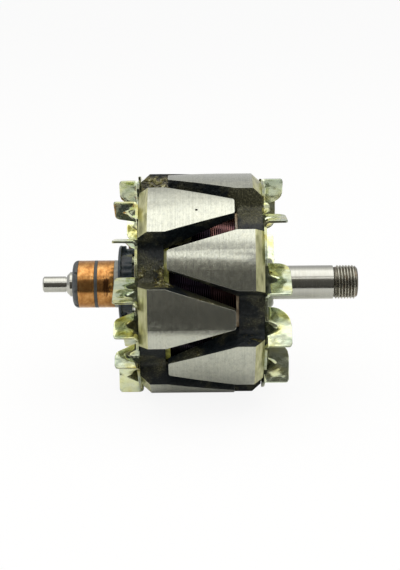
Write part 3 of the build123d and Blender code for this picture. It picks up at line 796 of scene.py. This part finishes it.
# A stamped fan: notched disc and folded blades with pressed darts
def buildFan(name, node, blades, radius, faceX, flip, holes):
    settings = {"bore": 8.7, "rimInset": 0.6, "rimRound": 0.15, "segments": 128, "notch": 9.8, "runIn": 2.5,
                "notchCorner": 2.0, "holeRadius": 1.5, "holeAt": 20.5, "skin": 0.05, "upright": 0.2,
                "smooth": 40}
    thickness, rim = sheetSize["thickness"], radius - settings["rimInset"]
    disc = turnProfile([(0, settings["bore"]), (0, rim), (thickness, rim), (thickness, settings["bore"])],
                       settings["rimRound"], settings["segments"])
    plate = newObject(name + "Disc", disc)
    blocks = [notchBlock(blade, radius, settings) for blade in blades]
    blocks += [holeBar(angle, settings) for angle in holes]
    cutters = [newObject(f"{name}Cutter{number}", block) for number, block in enumerate(blocks)]
    for cutter in cutters:
        cut = plate.modifiers.new(cutter.name, "BOOLEAN")
        cut.operation = "DIFFERENCE"
        cut.solver = "EXACT"
        cut.object = cutter
    depsgraph = bpy.context.evaluated_depsgraph_get()
    fan = bmesh.new()
    fan.from_mesh(bpy.data.meshes.new_from_object(plate.evaluated_get(depsgraph)))
    for piece in cutters + [plate]:
        bpy.data.objects.remove(piece)
    bmesh.ops.transform(fan, matrix=Matrix.Diagonal((flip, 1, 1, 1)), verts=fan.verts[:])
    for blade in blades:
        sheet = bladeSheet(blade)
        bmesh.ops.transform(sheet, matrix=bladePlace(blade, radius, flip), verts=sheet.verts[:])
        addShape(fan, sheet)
    bmesh.ops.recalc_face_normals(fan, faces=fan.faces[:])
    for face in fan.faces:
        onDisc = abs(face.calc_center_median().x) < (thickness - settings["skin"]) * mm
        if onDisc and abs(face.normal.x) < settings["upright"]:
            face.material_index = 1    # sheared edges of the disc and its openings, in the painted-shade copy of the finish
    bmesh.ops.translate(fan, verts=fan.verts[:], vec=(faceX * mm, 0, 0))
    finishPiece(name, fan, [finishes["zinc"], finishes["zincEdge"]], node,
                settings["smooth"])
    print(name, "placed with", len(blades), "blades")


buildFan("rear-fan-stamping", "rear_fan", rearBlades, radius=54.5, faceX=-65.5, flip=-1, holes=leadAngles)
buildFan("front-fan-stamping", "front_fan", frontBlades, radius=53.0, faceX=-6.2, flip=1, holes=())


# Soldered joints as lumpy blocks in the collar's notches, in a dark blue-grey finish that is painted shade
# where the fan hides them
def buildJoints():
    settings = {"middle": (-70.6, 0.0, 15.6), "half": (3.6, 3.1, 2.0), "round": 1.3, "swell": 0.25,
                "swellsPerMm": 0.5, "cuts": 9, "smooth": 60}
    half, middle = Vector(settings["half"]), Vector(settings["middle"])
    joints = bmesh.new()
    for angle in leadAngles:
        lump = bmesh.new()
        bmesh.ops.create_cube(lump, size=2.0)
        bmesh.ops.subdivide_edges(lump, edges=lump.edges[:], cuts=settings["cuts"], use_grid_fill=True)
        for vertex in lump.verts:
            point = vertex.co * half
            core = Vector([max(settings["round"] - h, min(h - settings["round"], p))
                           for h, p in zip(half, point)])
            away = point - core
            if away.length > 0:
                point = core + away.normalized() * settings["round"]
            swell = noise.noise(point * settings["swellsPerMm"] + Vector((angle, 0, 0)))
            point += point.normalized() * settings["swell"] * swell
            vertex.co = (point + middle) * mm
        placeOnShaft(lump, 0.0, angle + 90)
        addShape(joints, lump)
    bmesh.ops.recalc_face_normals(joints, faces=joints.faces[:])
    finishPiece("shade-darkened-lead-joints", joints, [finishes["jointShade"]], "lead_solder",
                settings["smooth"])
    print("joints placed")


buildJoints()


# Frame nodes whose shape is already right keep it and get their finish
def dressFrameNodes():
    dressed = {
        "field_core": "shaft",
        "start_lead": "lead",
        "end_lead": "lead",
        "start_lead_sleeve": "sleeve",
        "end_lead_sleeve": "sleeve",
        "slip_ring_insulator": "insulator",
        "outer_ring_terminal": "lead",
        "inner_ring_terminal": "lead",
        "lead_collar": "collar",
        "front_spacer": "spacer",
    }
    for node, finish in dressed.items():
        for slot in nodes[node].material_slots:
            slot.material = finishes[finish]
    print("frame nodes dressed", len(dressed))


dressFrameNodes()


# Studio: pale floor, bright ceiling, and dark cards in front and below that only metal reflects

# The empty node tree of a new material or world
def emptyTree(owner):
    owner.use_nodes = True
    owner.node_tree.nodes.clear()
    return owner.node_tree


# A rectangle across the shaft's direction, from one (y, z) line to another, hidden from some rays
def stagePlane(name, material, halfWidth, near, far, hiddenFrom=(), middle=0.0):
    shape = bmesh.new()
    corners = [(middle + side * halfWidth, *line) for side, line in (
        (-1, near), (1, near), (1, far), (-1, far))]
    shape.faces.new([shape.verts.new(corner) for corner in corners])
    plane = newObject(name, shape)
    plane.data.materials.append(material)
    for ray in hiddenFrom:
        setattr(plane, "visible_" + ray, False)


# A glow whose brightness changes along an axis, listed in metres and levels of up to 2
def glowMaterial(name, axis, levels, colour):
    material = bpy.data.materials.new(name)
    tree = emptyTree(material)
    place = addNode(tree, "TexCoord").node.outputs["Object"]
    position = addNode(tree, "SeparateXYZ", [place]).node.outputs[axis]
    low, high = levels[0][0], levels[-1][0]
    share = addNode(tree, "MapRange", [position, low, high])
    stops = [((at - low) / (high - low), (level / 2, level / 2, level / 2, 1)) for at, level in levels]
    half = addNode(tree, "ValToRGB", [share], stops)
    strength = addNode(tree, "Math", [half, 2.0], operation="MULTIPLY")
    addNode(tree, "OutputMaterial", [addNode(tree, "Emission", [colour, strength])])
    return material


def buildStudio():
    room = {"floor": cadBounds[0][2] - 0.0002, "reach": 30.0, "floorWhite": 0.9, "cardHalf": 1.2,
                "cardNear": -0.125, "cardFar": -1.0, "cardTop": 0.95, "cardGap": 0.001, "ceiling": 0.8,
                "ceilingHalf": 0.9, "ceilingFront": -0.82, "ceilingBack": 1.3, "ceilingMiddle": -0.0365,
                "air": 0.62, "airSeen": 0.985}
    height, reach, cardHalf, cardFar = room["floor"], room["reach"], room["cardHalf"], room["cardFar"]
    onlyReflected = ("camera", "diffuse", "shadow", "transmission")

    pale = bpy.data.materials.new("paleFloor")
    tree = emptyTree(pale)
    matt = addNode(tree, "BsdfDiffuse", ["#f4f4f2"])
    white = addNode(tree, "Emission", [(1, 1, 1, 1), 1.0])
    share = addNode(tree, "Math", [addNode(tree, "LightPath"), room["floorWhite"]], operation="MULTIPLY")
    addNode(tree, "OutputMaterial", [addNode(tree, "MixShader", [share, matt, white])])
    stagePlane("floor", pale, reach, (-reach, height), (reach, height))

    lowGlow = glowMaterial("lowCardGlow", "Y", [(-1.0, 0.11), (-0.30, 0.08), (-0.125, 0.075)], "#fffbf0")
    lowHeight = height + room["cardGap"]
    stagePlane("lowCard", lowGlow, cardHalf, (cardFar, lowHeight), (room["cardNear"], lowHeight),
               onlyReflected)
    backGlow = glowMaterial("backCardGlow", "Z", [
        (-0.05, 0.11), (0.2, 0.11), (0.5, 0.13), (0.75, 0.22), (0.95, 0.42)], "#fffbf0")
    stagePlane("backCard", backGlow, cardHalf, (cardFar, height), (cardFar, room["cardTop"]), onlyReflected)

    overhead = glowMaterial("ceilingGlow", "Y", [
        (-0.82, 1.9), (-0.69, 1.9), (-0.665, 0.6), (-0.57, 0.66), (-0.51, 0.95), (-0.44, 1.75), (-0.25, 1.85),
        (-0.10, 1.92), (0.06, 1.97), (0.20, 1.88), (0.25, 1.6), (0.30, 1.35), (0.41, 1.2), (0.57, 0.92),
        (0.75, 0.78), (1.3, 0.62)], "#fffefa")
    stagePlane("ceiling", overhead, room["ceilingHalf"], (room["ceilingFront"], room["ceiling"]),
               (room["ceilingBack"], room["ceiling"]), ("camera", "shadow", "transmission"),
               room["ceilingMiddle"])

    world = bpy.data.worlds.new("studioAir")
    tree = emptyTree(world)
    level = addNode(tree, "Mix", [addNode(tree, "LightPath"), room["air"], room["airSeen"]])
    addNode(tree, "OutputWorld", [addNode(tree, "Background", [(1, 1, 1, 1), level])])
    bpy.context.scene.world = world
    print("studio built")


buildStudio()


# The camera, at the photo's angle and distance
def buildCamera():
    settings = {"aim": (-0.0365, 0.0, -0.0010), "distance": 0.63, "roll": 0.5, "sensor": 36.0,
                "spread": 0.2878}    # width in metres that the view spans at the aim
    data = bpy.data.cameras.new("photoCamera")
    data.sensor_width = settings["sensor"]
    data.lens = settings["sensor"] * settings["distance"] / settings["spread"]
    data.clip_end = 50
    camera = bpy.data.objects.new("photoCamera", data)
    tilt = math.radians(viewElevation)
    away = Vector((0, -math.cos(tilt), math.sin(tilt)))
    camera.location = Vector(settings["aim"]) + settings["distance"] * away
    camera.rotation_euler = (math.pi / 2 - tilt, 0, 0)
    camera.rotation_euler.rotate_axis("Z", math.radians(-settings["roll"]))
    bpy.context.scene.collection.objects.link(camera)
    bpy.context.scene.camera = camera
    bpy.context.scene.view_settings.view_transform = "Standard"
    print("camera set")


buildCamera()
